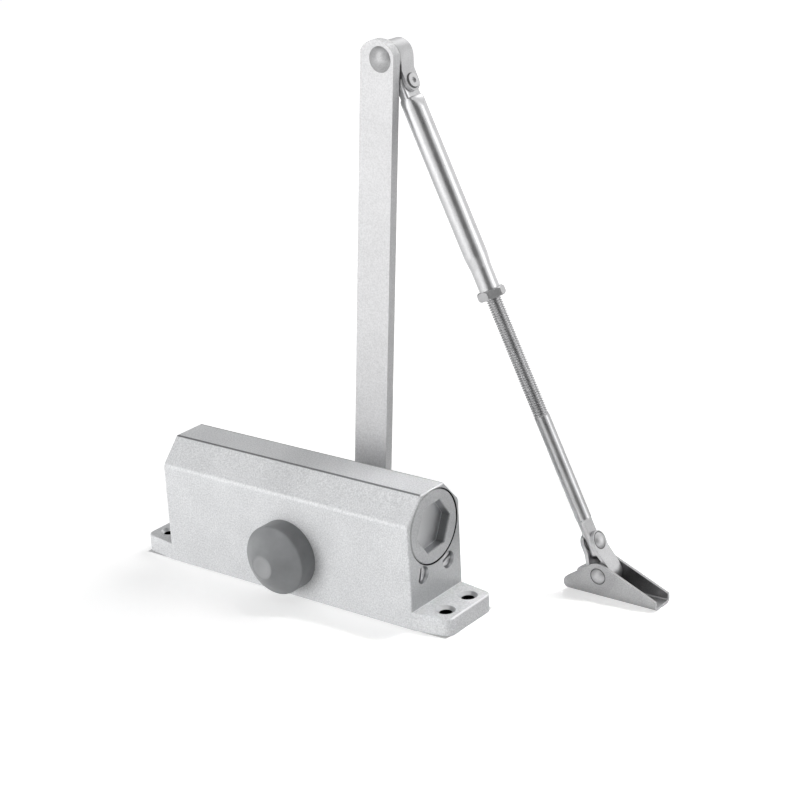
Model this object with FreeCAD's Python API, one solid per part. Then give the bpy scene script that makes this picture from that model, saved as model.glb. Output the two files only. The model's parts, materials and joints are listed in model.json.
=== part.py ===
import FreeCAD, Part
import math
import os

# Hydraulic door closer lying on its mounting face.
# +X runs along the body towards the valve end, +Y along the pinion towards the arm,
# +Z away from the door.  The origin is the middle of the mounting face.  Millimetres.

# Piston bore and the rack under the piston
bore_radius = 16.5
rack_inset = 3.7
rack_end_margin = 3.0
piston_rest_gap = 3.0
piston_tail = 3.0
piston_clearance = 0.05

# Pinion
gear_module = 2.0
gear_teeth = 12
pressure_angle = 25.0
backlash = 0.2
gear_width = 20.0
pinion_x = 2.0
pinion_height = 23.0
journal_radius = 8.0
square_width = 11.0
square_corner_radius = 7.2
shaft_standout = 12.5
square_length = 4.6
tapped_hole_radius = 3.0
tapped_hole_depth = 14.0

# Pinion glands, bushes and shaft seals
gear_side_room = 1.0
gland_depth = 6.1
gland_collar_step = 2.0
gland_collar_height = 3.5
gland_notch_width = 3.0
gland_notch_depth = 1.2
seal_lip_gap = 0.4
bush_wall = 2.5
seal_wall = 3.6
seal_height = 3.6
running_clearance = 0.05
thread_clearance = 0.05

# Body casting and its feet
body_length = 162.0
side_wall = 1.8
top_wall = 0.5
top_width = 19.0
shoulder_drop = 13.0
body_edge_radius = 0.9
shoulder_edge_radius = 4.0
foot_thickness = 9.3
hole_offset = 12.0
hole_pitch_y = 19.0
hole_radius = 3.25
countersink_radius = 5.0
foot_end_margin = 8.5
foot_taper = 3.1
foot_corner_radius = 5.0
foot_edge_radius = 0.8

# End plugs
thread_step = 1.3
plug_head_step = 1.3
plug_head_gap = 0.6
plug_edge_chamfer = 0.5
plug_head_thickness = 4.0
valve_plug_length = 16.0
spring_plug_length = 10.0
hex_socket_width = 24.6
hex_socket_depth = 5.5
hex_socket_turn = 35.0
seal_ring_width = 2.0
seal_ring_depth = 1.8
seal_end_land = 1.6
seal_clearance = 0.01

# Closing spring
spring_coils = 7
spring_wire_radius = 2.0
spring_bore_gap = 0.9
spring_wire_sides = 8

# Check valve in the piston head
check_ball_radius = 2.5
check_seat_radius = 1.6
check_port_radius = 1.2
check_bore_clearance = 0.3
check_pocket_depth = 9.0

# Speed valves in the end face
valve_spacing = 21.2
valve_below_plug = 2.4
valve_mouth_radius = 4.6
valve_mouth_depth = 1.8
valve_head_radius = 3.7
valve_head_length = 6.0
valve_stem_radius = 2.4
valve_length = 26.0
valve_needle_length = 5.0
valve_needle_tip = 0.6
valve_end_room = 1.0
valve_seal_offset = 3.0
valve_seal_width = 1.6
valve_seal_depth = 0.8
valve_slot_width = 1.2
valve_slot_depth = 1.4
closing_slot_turn = 75.0
latching_slot_turn = 20.0

# Pinion cap
cap_wall = 1.45
cap_rim_height = 10.2
cap_height = 20.1
cap_tip_radius = 6.4
cap_dimple_radius = 4.0
cap_dimple_depth = 0.6
cap_rim_edge_radius = 1.8
cap_tip_edge_radius = 0.8

# Main arm
arm_lean = 5.0
arm_travel = 95.0
arm_reach = 245.0
arm_width = 20.6
arm_thickness = 5.3
arm_eye_radius = 12.0
arm_crank = 13.5
arm_bend_angle = 65.0
arm_bend_radius = 5.0
arm_bend_margin = 0.5
arm_end_radius = 11.5
arm_end_margin = 9.4
elbow_offset = 2.0
square_clearance = 0.05

# Arm screw and washer
arm_washer_radius = 9.0
arm_washer_thickness = 1.5
washer_clearance = 0.2
screw_head_radius = 5.6
screw_head_height = 3.4
screw_cross_width = 1.3
screw_cross_length = 6.0
screw_cross_depth = 1.8
screw_length = 14.0

# Elbow pin, washer and strap
elbow_pin_radius = 5.0
elbow_head_radius = 6.6
elbow_head_height = 2.0
elbow_washer_thickness = 1.2
strap_width = 10.2
strap_thickness = 2.0
elbow_strap_radius = 8.2
elbow_strap_angle = 24.0
elbow_rivet_drop = 15.0
elbow_flange_lip = 0.75
elbow_flange_thickness = 1.5
side_play = 0.05
leg_clearance = 0.15

# Forearm
forearm_angle = 24.06
flat_thickness = 5.8
flat_width = 11.6
flat_length = 7.1
tube_radius = 6.1
tube_blend_length = 6.5
tube_length = 110.0
neck_radius = 5.4
neck_length = 7.0
neck_land = 11.0
rod_radius = 3.95
rod_engagement = 30.0
rod_travel = 45.0
rod_bore_clearance = 0.07
rod_end_room = 1.0
nut_width = 13.0
nut_thickness = 4.7
nut_turn = -10.0
tongue_thickness = 4.2
tongue_shoulder = 12.6
tongue_end = 9.2
rivet_radius = 2.5
ring_head_radius = 3.5
ring_head_height = 1.0
ring_hole_radius = 1.5
rivet_head_radius = 4.1
rivet_head_height = 2.2

# Shoe and its link
shoe_set_back = 5.35
shoe_pin_height = 11.4
link_radius = 7.3
link_angle = 15.0
link_rivet_rise = 16.5
shoe_wall = 1.5
shoe_bend_radius = 0.9
shoe_side_gap = 0.4
shoe_nose_reach = 20.6
shoe_nose_radius = 4.0
shoe_tail_reach = 33.2
shoe_tail_height = 5.0
shoe_cheek_radius = 7.0
shoe_hole_radius = 2.4
shoe_hole_ahead = 25.0
shoe_hole_behind = 13.4
shoe_pin_radius = 3.0
shoe_head_radius = 3.9
shoe_head_height = 1.9

# Worked out from the sizes above
pitch_radius = gear_module * gear_teeth / 2
tooth_root_depth = 1.25 * gear_module
tip_radius = pitch_radius + gear_module
root_radius = pitch_radius - tooth_root_depth
gland_radius = tip_radius + gear_side_room
bore_height = pinion_height + pitch_radius + bore_radius - rack_inset
pitch_line = pinion_height + pitch_radius
rack_tip_line = pitch_line - gear_module
rack_root_line = pitch_line + tooth_root_depth
thread_radius = bore_radius + thread_step
plug_head_radius = thread_radius + plug_head_step
plug_recess_radius = plug_head_radius + plug_head_gap
body_width = 2 * (plug_recess_radius + side_wall)
body_height = bore_height + plug_recess_radius + top_wall
shoulder_height = body_height - shoulder_drop
half_length = body_length / 2
half_width = body_width / 2
valve_height = bore_height - plug_recess_radius - valve_below_plug
piston_stroke = pitch_radius * math.radians(arm_travel)
arm_seat = half_width + shaft_standout
shaft_end = arm_seat + square_length
cap_inner_radius = gland_radius + gland_collar_step + thread_clearance
cap_radius = cap_inner_radius + cap_wall
arm_front = arm_seat + arm_crank
strap_front = arm_front + arm_thickness + elbow_washer_thickness + side_play
strap_middle = strap_front + strap_width / 2
strap_end = strap_front + strap_width + side_play
shoe_middle = strap_middle + shoe_set_back

V = FreeCAD.Vector
edge_tolerance = 0.1
cut_past = 1.0
X_DIR = V(1, 0, 0)
Y_DIR = V(0, 1, 0)
Z_DIR = V(0, 0, 1)


def turned(direction, angle):
    """Rotation by an angle in degrees about a direction."""
    return FreeCAD.Rotation(direction, angle)


def moved(shape, origin, rotation=None):
    """Copy of a shape, turned about the origin and then moved to a point."""
    result = shape.copy()
    result.Placement = FreeCAD.Placement(origin, rotation or FreeCAD.Rotation())
    return result


def rod(radius, start, end):
    """Cylinder between two points."""
    run = end - start
    return Part.makeCylinder(radius, run.Length, start, run)


def ring(outer, inner, start, end):
    """Tube between two points."""
    return rod(outer, start, end).cut(rod(inner, start, end))


def taper(radius_start, radius_end, start, end):
    """Cone between two points."""
    run = end - start
    return Part.makeCone(radius_start, radius_end, run.Length, start, run)


def block(low, high):
    """Box between two corners."""
    size = high - low
    return Part.makeBox(size.x, size.y, size.z, low)


def dome(radius, height, start, direction):
    """Spherical cap that stands on a point in a direction."""
    ball_radius = (radius ** 2 + height ** 2) / (2 * height)
    top = start + direction * height
    ball = Part.makeSphere(ball_radius, top - direction * ball_radius)
    return ball.common(rod(ball_radius, start, top))


def hexagon(width, length):
    """Hexagonal prism of a width across flats, standing on the XY plane with a corner on +X."""
    corner = width / math.sqrt(3)
    points = [V(corner * math.cos(math.radians(60 * k)), corner * math.sin(math.radians(60 * k)), 0)
              for k in range(7)]
    return Part.Face(Part.makePolygon(points)).extrude(V(0, 0, length))


def polygon_prism(points, run):
    """Straight-sided outline carried along a vector."""
    return Part.Face(Part.makePolygon(points + points[:1])).extrude(run)


def edges_along(shape, direction, test):
    """Straight edges along a direction whose middle point passes a test."""
    found = []
    for edge in shape.Edges:
        if edge.Curve.TypeId != "Part::GeomLine":
            continue
        if abs(edge.Curve.Direction.dot(direction)) > 0.999 and test(edge.CenterOfMass):
            found.append(edge)
    return found


pinion_centre = V(pinion_x, 0, pinion_height)
arm_frame = turned(Y_DIR, arm_lean)
elbow_pin = pinion_centre + arm_frame.multVec(V(elbow_offset, 0, arm_reach))
link_frame = turned(Y_DIR, -forearm_angle)
forearm_down = link_frame.multVec(V(0, 0, -1))
forearm_side = link_frame.multVec(X_DIR)
forearm_reach = (elbow_pin.z - shoe_pin_height) / math.cos(math.radians(forearm_angle))
strap_centre = V(elbow_pin.x, strap_middle, elbow_pin.z)
elbow_rivet_centre = strap_centre + forearm_down * elbow_rivet_drop
shoe_pin = strap_centre + forearm_down * forearm_reach + V(0, shoe_set_back, 0)
link_rivet_centre = shoe_pin - forearm_down * link_rivet_rise
forearm_run = link_rivet_centre - elbow_rivet_centre
forearm_tilt = math.degrees(math.asin(shoe_set_back / forearm_run.Length))
forearm_frame = link_frame.multiply(turned(X_DIR, forearm_tilt))


def casting_prism():
    """Ridge-roofed bar of the casting: softly rounded shoulders, small radii on its top and end edges."""
    outline = [V(-half_length, -half_width, 0), V(-half_length, half_width, 0),
               V(-half_length, half_width, shoulder_height), V(-half_length, top_width / 2, body_height),
               V(-half_length, -top_width / 2, body_height), V(-half_length, -half_width, shoulder_height)]
    bar = polygon_prism(outline, V(body_length, 0, 0))
    shoulders = edges_along(bar, X_DIR, lambda middle: abs(middle.z - shoulder_height) < edge_tolerance)
    bar = bar.makeFillet(shoulder_edge_radius, shoulders)
    edges = edges_along(bar, X_DIR, lambda middle: middle.z > body_height - edge_tolerance)
    edges += [edge for edge in bar.Edges
              if edge.BoundBox.XLength < edge_tolerance and edge.CenterOfMass.z > edge_tolerance]
    return bar.makeFillet(body_edge_radius, edges)


def foot(side):
    """Screw foot at one end: it narrows to its tip, with two countersunk holes."""
    hole_x = half_length + hole_offset
    tip = hole_x + foot_end_margin
    tip_width = half_width - foot_taper
    outline = [V(0, -half_width, 0), V(half_length, -half_width, 0), V(tip, -tip_width, 0),
               V(tip, tip_width, 0), V(half_length, half_width, 0), V(0, half_width, 0)]
    plate = polygon_prism(outline, V(0, 0, foot_thickness))
    corners = edges_along(plate, Z_DIR, lambda middle: middle.x > tip - edge_tolerance)
    plate = plate.makeFillet(foot_corner_radius, corners)
    top_edges = [edge for edge in plate.Edges
                 if edge.BoundBox.ZMin > foot_thickness - edge_tolerance
                 and edge.BoundBox.XMax > edge_tolerance]
    plate = plate.makeFillet(foot_edge_radius, top_edges)
    sink_depth = countersink_radius - hole_radius
    for y in (-hole_pitch_y / 2, hole_pitch_y / 2):
        plate = plate.cut(rod(hole_radius, V(hole_x, y, -cut_past), V(hole_x, y, foot_thickness + cut_past)))
        plate = plate.cut(taper(hole_radius, countersink_radius, V(hole_x, y, foot_thickness - sink_depth),
                                V(hole_x, y, foot_thickness)))
    return moved(plate, V(), turned(Z_DIR, 0 if side > 0 else 180))


def valve_cavity(y):
    """Stepped bore of one speed valve, with its coned mouth in the end face."""
    def at(depth):
        return V(half_length - depth, y, valve_height)
    head_bottom = valve_mouth_depth + valve_head_length
    cavity = taper(valve_mouth_radius, valve_head_radius + running_clearance, at(0), at(valve_mouth_depth))
    cavity = cavity.fuse(rod(valve_head_radius + running_clearance, at(valve_mouth_depth), at(head_bottom)))
    return cavity.fuse(rod(valve_stem_radius + running_clearance, at(head_bottom),
                           at(valve_length + valve_end_room)))


def body_housing():
    """One-piece casting: piston bore along X, pinion bore along Y, valve bores and feet."""
    body = casting_prism().fuse([foot(1), foot(-1)]).removeSplitter()

    def axis_point(x):
        return V(x, 0, bore_height)
    cuts = [rod(bore_radius, axis_point(-half_length), axis_point(half_length))]
    for side, length in ((1, valve_plug_length), (-1, spring_plug_length)):
        face = axis_point(side * half_length)
        cuts.append(rod(thread_radius, axis_point(side * (half_length - length)), face))
        cuts.append(rod(plug_recess_radius, axis_point(side * (half_length - plug_head_thickness)), face))
    cuts.append(rod(gland_radius, V(pinion_x, -half_width, pinion_height),
                    V(pinion_x, half_width, pinion_height)))
    cuts += [valve_cavity(-valve_spacing / 2), valve_cavity(valve_spacing / 2)]
    return body.cut(cuts)


def end_plug(length, side):
    """Screwed plug with a flush head, a hexagon socket and a seal groove behind the thread."""
    plug = rod(thread_radius - thread_clearance, V(), V(length, 0, 0))
    head_edge = length - plug_edge_chamfer
    plug = plug.fuse(rod(plug_head_radius, V(length - plug_head_thickness, 0, 0), V(head_edge, 0, 0)))
    plug = plug.fuse(taper(plug_head_radius, plug_head_radius - plug_edge_chamfer, V(head_edge, 0, 0),
                           V(length, 0, 0)))
    socket = moved(hexagon(hex_socket_width, hex_socket_depth), V(length - hex_socket_depth, 0, 0),
                   turned(Y_DIR, 90).multiply(turned(Z_DIR, hex_socket_turn)))
    groove = ring(thread_radius, thread_radius - seal_ring_depth, V(seal_end_land, 0, 0),
                  V(seal_end_land + seal_ring_width, 0, 0))
    plug = plug.removeSplitter().cut([socket, groove])
    place = V(side * (half_length - length), 0, bore_height)
    return moved(plug, place, turned(Z_DIR, 0 if side > 0 else 180))


def plug_seal(length, side):
    """Seal ring that fills a plug's groove."""
    start = side * (half_length - length + seal_end_land)
    end = start + side * seal_ring_width
    return ring(thread_radius - seal_clearance, thread_radius - seal_ring_depth,
                V(start, 0, bore_height), V(end, 0, bore_height))


def end_plug_seals():
    return Part.makeCompound([plug_seal(valve_plug_length, 1), plug_seal(spring_plug_length, -1)])


piston_start = pinion_x - tip_radius - piston_tail
piston_end = half_length - valve_plug_length - piston_rest_gap
head_start = pinion_x + tip_radius + piston_stroke + rack_end_margin
piston_radius = bore_radius - piston_clearance
piston_groove_start = piston_end - 2 * seal_ring_width - seal_end_land


def rack_space(x):
    """Trapezoid between two rack teeth, cut up from the rack's tip line."""
    slope = math.tan(math.radians(pressure_angle))
    pitch = math.pi * gear_module
    middle_half = pitch / 4 + backlash / 4
    low = middle_half + (pitch_line - rack_tip_line + cut_past) * slope
    high = middle_half - (rack_root_line - pitch_line) * slope
    bottom = rack_tip_line - cut_past
    outline = [V(x - low, -bore_radius, bottom), V(x + low, -bore_radius, bottom),
               V(x + high, -bore_radius, rack_root_line), V(x - high, -bore_radius, rack_root_line)]
    return polygon_prism(outline, V(0, 2 * bore_radius, 0))


def piston():
    """Round piston with a rack cut along its flat underside and a sealed pressure head."""
    def at(x):
        return V(x, 0, bore_height)
    body = rod(piston_radius, at(piston_start), at(piston_end))
    cuts = [block(V(piston_start, -bore_radius, 0), V(head_start, bore_radius, rack_tip_line))]
    pitch = math.pi * gear_module
    first = math.ceil((piston_start - pinion_x) / pitch)
    last = math.floor((head_start - pinion_x) / pitch - 0.5)
    cuts += [rack_space(pinion_x + k * pitch) for k in range(first, last + 1)]
    cuts.append(ring(bore_radius, piston_radius - seal_ring_depth, at(piston_groove_start),
                     at(piston_groove_start + seal_ring_width)))
    pocket = check_ball_radius + check_bore_clearance
    seat_depth = pocket - check_seat_radius
    cuts.append(rod(pocket, at(piston_end - check_pocket_depth), at(piston_end)))
    cuts.append(taper(check_seat_radius, pocket, at(piston_end - check_pocket_depth - seat_depth),
                      at(piston_end - check_pocket_depth)))
    cuts.append(rod(check_seat_radius, at(head_start), at(piston_end - check_pocket_depth)))
    port_x = head_start + 2 * check_seat_radius
    cuts.append(rod(check_port_radius, at(port_x), V(port_x, 0, bore_height - bore_radius)))
    return body.cut(cuts)


def piston_seal():
    return ring(bore_radius - seal_clearance, piston_radius - seal_ring_depth,
                V(piston_groove_start, 0, bore_height),
                V(piston_groove_start + seal_ring_width, 0, bore_height))


def check_valve_ball():
    """Ball on the 45 degree seat of the piston head's check valve."""
    seat_tip = piston_end - check_pocket_depth - check_ball_radius - check_bore_clearance
    return Part.makeSphere(check_ball_radius, V(seat_tip + check_ball_radius * math.sqrt(2), 0, bore_height))


def closing_spring():
    """Wire helix, eight-sided in section, between the spring end plug and the piston."""
    start = -half_length + spring_plug_length
    space = piston_start - start
    mean_radius = bore_radius - spring_bore_gap - spring_wire_radius
    rise = space - 2 * spring_wire_radius
    path = Part.makeHelix(rise / spring_coils, rise, mean_radius)
    turns = [2 * math.pi * k / spring_wire_sides for k in range(spring_wire_sides + 1)]
    corners = [V(mean_radius + spring_wire_radius * math.cos(turn), 0, spring_wire_radius * math.sin(turn))
               for turn in turns]
    coil = Part.Wire(path).makePipeShell([Part.makePolygon(corners)], True, True)
    return moved(coil, V(start + spring_wire_radius, 0, bore_height), turned(Y_DIR, 90))


def involute(angle):
    return math.tan(angle) - angle


def tooth_edges(turn):
    """Edges of one involute tooth about the Z axis, from its root on one side to the next root."""
    flank_angle = math.radians(pressure_angle)
    base_radius = pitch_radius * math.cos(flank_angle)
    half_pitch = math.pi / (2 * gear_teeth) + involute(flank_angle) - backlash / (4 * pitch_radius)

    def polar(radius, angle):
        return V(radius * math.cos(turn + angle), radius * math.sin(turn + angle), 0)

    def half_angle(radius):
        return half_pitch - involute(math.acos(base_radius / radius))
    steps = 6
    radii = [base_radius + (tip_radius - base_radius) * (k / steps) ** 2 for k in range(steps + 1)]
    rising = [polar(r, -half_angle(r)) for r in radii]
    falling = [polar(r, half_angle(r)) for r in reversed(radii)]
    edges = []
    edges.append(Part.LineSegment(polar(root_radius, -half_pitch), rising[0]).toShape())
    edges.append(spline(rising))
    edges.append(Part.Arc(rising[-1], polar(tip_radius, 0), falling[0]).toShape())
    edges.append(spline(falling))
    edges.append(Part.LineSegment(falling[-1], polar(root_radius, half_pitch)).toShape())
    gap = math.pi / gear_teeth
    edges.append(Part.Arc(polar(root_radius, half_pitch), polar(root_radius, gap),
                          polar(root_radius, 2 * gap - half_pitch)).toShape())
    return edges


def spline(points):
    curve = Part.BSplineCurve()
    curve.interpolate(points)
    return curve.toShape()


def squared_end(start, end):
    """Shaft end milled to a square, turned to suit the arm, with its corners left round."""
    run = end - start
    corner = start - V(square_width / 2, 0, square_width / 2)
    square = Part.makeBox(square_width, abs(run.y), square_width, V(corner.x, min(start.y, end.y), corner.z))
    square.rotate(pinion_centre, Y_DIR, arm_lean)
    return square.common(rod(square_corner_radius, start, end))


def pinion():
    """Double-ended pinion: gear, thrust shoulders, journals, squared ends and tapped holes."""
    edges = []
    for k in range(gear_teeth):
        edges += tooth_edges(2 * math.pi * k / gear_teeth)
    gear = Part.Face(Part.Wire(edges)).extrude(V(0, 0, gear_width))
    shaft = moved(gear, V(pinion_x, gear_width / 2, pinion_height),
                  turned(X_DIR, 90).multiply(turned(Z_DIR, 90)))

    def at(y):
        return V(pinion_x, y, pinion_height)
    shoulder = half_width - gland_depth - running_clearance
    shaft = shaft.fuse(rod(journal_radius + bush_wall / 2, at(-shoulder), at(shoulder)))
    shaft = shaft.fuse(rod(journal_radius, at(-arm_seat), at(arm_seat)))
    for side in (1, -1):
        shaft = shaft.fuse(squared_end(at(side * arm_seat), at(side * shaft_end)))
        hole_floor = shaft_end - tapped_hole_depth
        shaft = shaft.cut(rod(tapped_hole_radius, at(side * hole_floor), at(side * shaft_end)))
    return shaft.removeSplitter()


def gland(side):
    """Screwed bearing housing with a notched collar that seats on the casting."""
    def at(y):
        return V(pinion_x, side * y, pinion_height)
    inner = half_width - gland_depth
    outer = half_width + gland_collar_height
    seal_floor = outer - seal_height
    collar_radius = gland_radius + gland_collar_step
    body = rod(gland_radius - thread_clearance, at(inner), at(outer))
    body = body.fuse(rod(collar_radius, at(half_width), at(outer))).removeSplitter()
    bush_radius = journal_radius + running_clearance + bush_wall
    seal_radius = journal_radius + running_clearance + seal_wall
    body = body.cut([rod(bush_radius, at(inner), at(seal_floor)),
                     rod(seal_radius, at(seal_floor), at(outer))])
    notch = block(V(collar_radius - gland_notch_depth, -gland_notch_width / 2, 0),
                  V(collar_radius + cut_past, gland_notch_width / 2, gland_collar_height))
    place = turned(X_DIR, -90 * side)
    for k in range(4):
        spin = place.multiply(turned(Z_DIR, 45 + 90 * k))
        body = body.cut(moved(notch, at(half_width), spin))
    return body


def bush(side):
    """Plain bearing sleeve between a gland and the pinion journal."""
    inner = half_width - gland_depth
    outer = half_width + gland_collar_height - seal_height
    bore = journal_radius + running_clearance
    return ring(bore + bush_wall, bore, V(pinion_x, side * inner, pinion_height),
                V(pinion_x, side * outer, pinion_height))


def shaft_seal(side):
    """Lip seal in the mouth of a gland."""
    outer = half_width + gland_collar_height
    inner = outer - seal_height
    bore = journal_radius + running_clearance
    return ring(bore + seal_wall, bore, V(pinion_x, side * inner, pinion_height),
                V(pinion_x, side * (outer - seal_lip_gap), pinion_height))


def both_sides(make):
    return Part.makeCompound([make(1), make(-1)])


valve_seal_start = valve_mouth_depth + valve_head_length + valve_seal_offset


def speed_valve(y, slot_turn):
    """Needle valve screw with a slotted head sunk in its coned mouth."""
    def at(depth):
        return V(half_length - depth, y, valve_height)
    head_bottom = valve_mouth_depth + valve_head_length - running_clearance
    stem_end = valve_length - valve_needle_length
    valve = rod(valve_head_radius, at(valve_mouth_depth), at(head_bottom))
    valve = valve.fuse(rod(valve_stem_radius, at(head_bottom), at(stem_end)))
    valve = valve.fuse(taper(valve_stem_radius, valve_needle_tip, at(stem_end), at(valve_length)))
    slot_reach = valve_head_radius + cut_past
    slot = block(V(-valve_slot_depth, -slot_reach, -valve_slot_width / 2),
                 V(valve_mouth_depth, slot_reach, valve_slot_width / 2))
    slot = moved(slot, at(valve_mouth_depth), turned(X_DIR, slot_turn))
    groove = ring(valve_stem_radius + cut_past, valve_stem_radius - valve_seal_depth, at(valve_seal_start),
                  at(valve_seal_start + valve_seal_width))
    return valve.cut([slot, groove])


def valve_seal(y):
    """Seal ring in a speed valve's stem groove."""
    def at(depth):
        return V(half_length - depth, y, valve_height)
    return ring(valve_stem_radius + seal_clearance, valve_stem_radius - valve_seal_depth,
                at(valve_seal_start), at(valve_seal_start + valve_seal_width))


def pinion_cap():
    """Moulded cap: a rim pushed over the gland collar and a blunt cone with a dimpled tip."""
    slope_run = cap_radius - cap_tip_radius
    slope_rise = cap_height - cap_rim_height
    inset = cap_wall * (math.hypot(slope_run, slope_rise) - slope_run) / slope_rise
    inner_tip = cap_tip_radius - inset
    outer = [V(cap_radius, 0, 0), V(cap_radius, 0, cap_rim_height),
             V(cap_tip_radius, 0, cap_height), V(0, 0, cap_height)]
    inner = [V(0, 0, cap_height - cap_wall), V(inner_tip, 0, cap_height - cap_wall),
             V(cap_inner_radius, 0, cap_rim_height - inset), V(cap_inner_radius, 0, 0)]
    section = Part.Face(Part.makePolygon(outer + inner + outer[:1]))
    shell = section.revolve(V(), Z_DIR, 360)
    corners = ((cap_radius, cap_rim_height, cap_rim_edge_radius),
               (cap_tip_radius, cap_height, cap_tip_edge_radius))
    for corner_radius, height, rounding in corners:
        edges = [edge for edge in shell.Edges if edge.Curve.TypeId == "Part::GeomCircle"
                 and abs(edge.Curve.Radius - corner_radius) < edge_tolerance
                 and abs(edge.CenterOfMass.z - height) < edge_tolerance]
        shell = shell.makeFillet(rounding, edges)
    shell = shell.cut(dome(cap_dimple_radius, cap_dimple_depth, V(0, 0, cap_height), V(0, 0, -1)))
    return moved(shell, V(pinion_x, -half_width, pinion_height), turned(X_DIR, 90))


def bend_point(centre, radius, angle, sign):
    """Point on a bend arc in the arm's side profile; sign 1 for the first bend, -1 for the second."""
    turn = math.radians(angle)
    return V(0, centre.y - sign * radius * math.cos(turn), centre.z + sign * radius * math.sin(turn))


def cranked_bar(start, end, width):
    """Flat bar bent twice, so that its far run lies one crank further out than its eye."""
    half = arm_thickness / 2
    near = arm_seat + half
    far = near + arm_crank
    turn = math.radians(arm_bend_angle)
    drop = 2 * arm_bend_radius * (1 - math.cos(turn))
    straight = (arm_crank - drop) / math.sin(turn)
    bend_run = 2 * arm_bend_radius * math.sin(turn) + straight * math.cos(turn)
    bend_start = arm_eye_radius + arm_bend_margin
    first = V(0, near + arm_bend_radius, bend_start)
    second = V(0, far - arm_bend_radius, bend_start + bend_run)

    def side_edges(offset):
        tight = arm_bend_radius - offset
        wide = arm_bend_radius + offset
        p0 = V(0, near + offset, start)
        p1 = bend_point(first, tight, 0, 1)
        p2 = bend_point(first, tight, arm_bend_angle, 1)
        p3 = bend_point(second, wide, arm_bend_angle, -1)
        p4 = bend_point(second, wide, 0, -1)
        p5 = V(0, far + offset, end)
        middle = arm_bend_angle / 2
        return p0, p5, [Part.LineSegment(p0, p1).toShape(),
                        Part.Arc(p1, bend_point(first, tight, middle, 1), p2).toShape(),
                        Part.LineSegment(p2, p3).toShape(),
                        Part.Arc(p3, bend_point(second, wide, middle, -1), p4).toShape(),
                        Part.LineSegment(p4, p5).toShape()]
    low_start, low_end, low = side_edges(-half)
    high_start, high_end, high = side_edges(half)
    ends = [Part.LineSegment(low_start, high_start).toShape(), Part.LineSegment(low_end, high_end).toShape()]
    wire = Part.Wire(Part.__sortEdges__(low + high + ends))
    return moved(Part.Face(wire).extrude(V(width, 0, 0)), V(-width / 2, 0, 0))


def arm_plan():
    """Outline of the arm seen along the pinion, carried through its whole depth: eye, bar and round end."""
    low = arm_seat - cut_past
    high = arm_front + arm_thickness + cut_past
    half = arm_width / 2
    tip = arm_reach + arm_end_margin
    end_centre = tip - arm_end_radius
    eye = rod(arm_eye_radius, V(0, low, 0), V(0, high, 0))
    bar = block(V(-half, low, 0), V(half, high, end_centre))
    end = block(V(-half, low, end_centre), V(half, high, tip))
    end = end.common(rod(arm_end_radius, V(0, low, end_centre), V(0, high, end_centre)))
    return eye.fuse([bar, end]).removeSplitter()


def main_arm():
    """Flat steel arm cranked outwards just past its eye, with a square hole and a pin hole."""
    bar = cranked_bar(-arm_eye_radius, arm_reach + arm_end_margin, 2 * arm_eye_radius)
    arm = bar.common(arm_plan())
    hole = square_width / 2 + square_clearance
    square = block(V(-hole, arm_seat, -hole), V(hole, arm_seat + arm_thickness, hole))
    square = square.common(rod(square_corner_radius + square_clearance, V(0, arm_seat, 0),
                               V(0, arm_seat + arm_thickness, 0)))
    pin_hole = rod(elbow_pin_radius, V(elbow_offset, arm_front, arm_reach),
                   V(elbow_offset, arm_front + arm_thickness, arm_reach))
    return moved(arm.cut([square, pin_hole]), pinion_centre, arm_frame)


def arm_washer():
    face = arm_seat + arm_thickness
    return ring(arm_washer_radius, tapped_hole_radius + washer_clearance, V(pinion_x, face, pinion_height),
                V(pinion_x, face + arm_washer_thickness, pinion_height))


def arm_screw():
    """Cross-slotted pan-head screw that holds the arm on the pinion."""
    seat = arm_seat + arm_thickness + arm_washer_thickness
    top = seat + screw_head_height

    def at(y):
        return V(pinion_x, y, pinion_height)
    screw = rod(tapped_hole_radius - thread_clearance, at(seat - screw_length), at(seat))
    screw = screw.fuse(dome(screw_head_radius, screw_head_height, at(seat), Y_DIR))
    half = screw_cross_length / 2
    wide = screw_cross_width / 2
    flat = block(V(-half, 0, -wide), V(half, screw_cross_depth, wide))
    cross = flat.fuse(block(V(-wide, 0, -half), V(wide, screw_cross_depth, half)))
    return screw.cut(moved(cross, at(top - screw_cross_depth)))


def elbow_pin_part():
    """Stepped rivet fixed in the arm: domed head, shank, shoulder for the strap and end flange."""
    def at(y):
        return V(elbow_pin.x, y, elbow_pin.z)
    shoulder = arm_front + arm_thickness + elbow_washer_thickness
    bearing = elbow_strap_radius - strap_thickness - running_clearance
    pin = rod(elbow_pin_radius, at(arm_front), at(shoulder))
    pin = pin.fuse(dome(elbow_head_radius, elbow_head_height, at(arm_front), V(0, -1, 0)))
    pin = pin.fuse(rod(bearing, at(shoulder), at(strap_end)))
    pin = pin.fuse(rod(bearing + elbow_flange_lip, at(strap_end), at(strap_end + elbow_flange_thickness)))
    return pin.removeSplitter()


def elbow_washer():
    back = arm_front + arm_thickness
    return ring(elbow_strap_radius, elbow_pin_radius, V(elbow_pin.x, back, elbow_pin.z),
                V(elbow_pin.x, back + elbow_washer_thickness, elbow_pin.z))


def loop_region(radius, leg_offset, angle, reach):
    """Keyhole outline: a round head, tapering flanks and parallel legs that run up +Z."""
    turn = math.radians(angle)
    run = (radius * math.cos(turn) - leg_offset) / math.sin(turn)
    tangent = V(radius * math.cos(turn), 0, radius * math.sin(turn))
    knee = V(leg_offset, 0, tangent.z + run * math.cos(turn))
    flip = [V(-p.x, 0, p.z) for p in (tangent, knee)]
    tip, flip_tip = V(leg_offset, 0, reach), V(-leg_offset, 0, reach)
    edges = [Part.Arc(flip[0], V(0, 0, -radius), tangent).toShape()]
    points = [tangent, knee, tip, flip_tip, flip[1], flip[0]]
    edges += [Part.LineSegment(a, b).toShape() for a, b in zip(points, points[1:])]
    return Part.Face(Part.Wire(edges))


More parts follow.
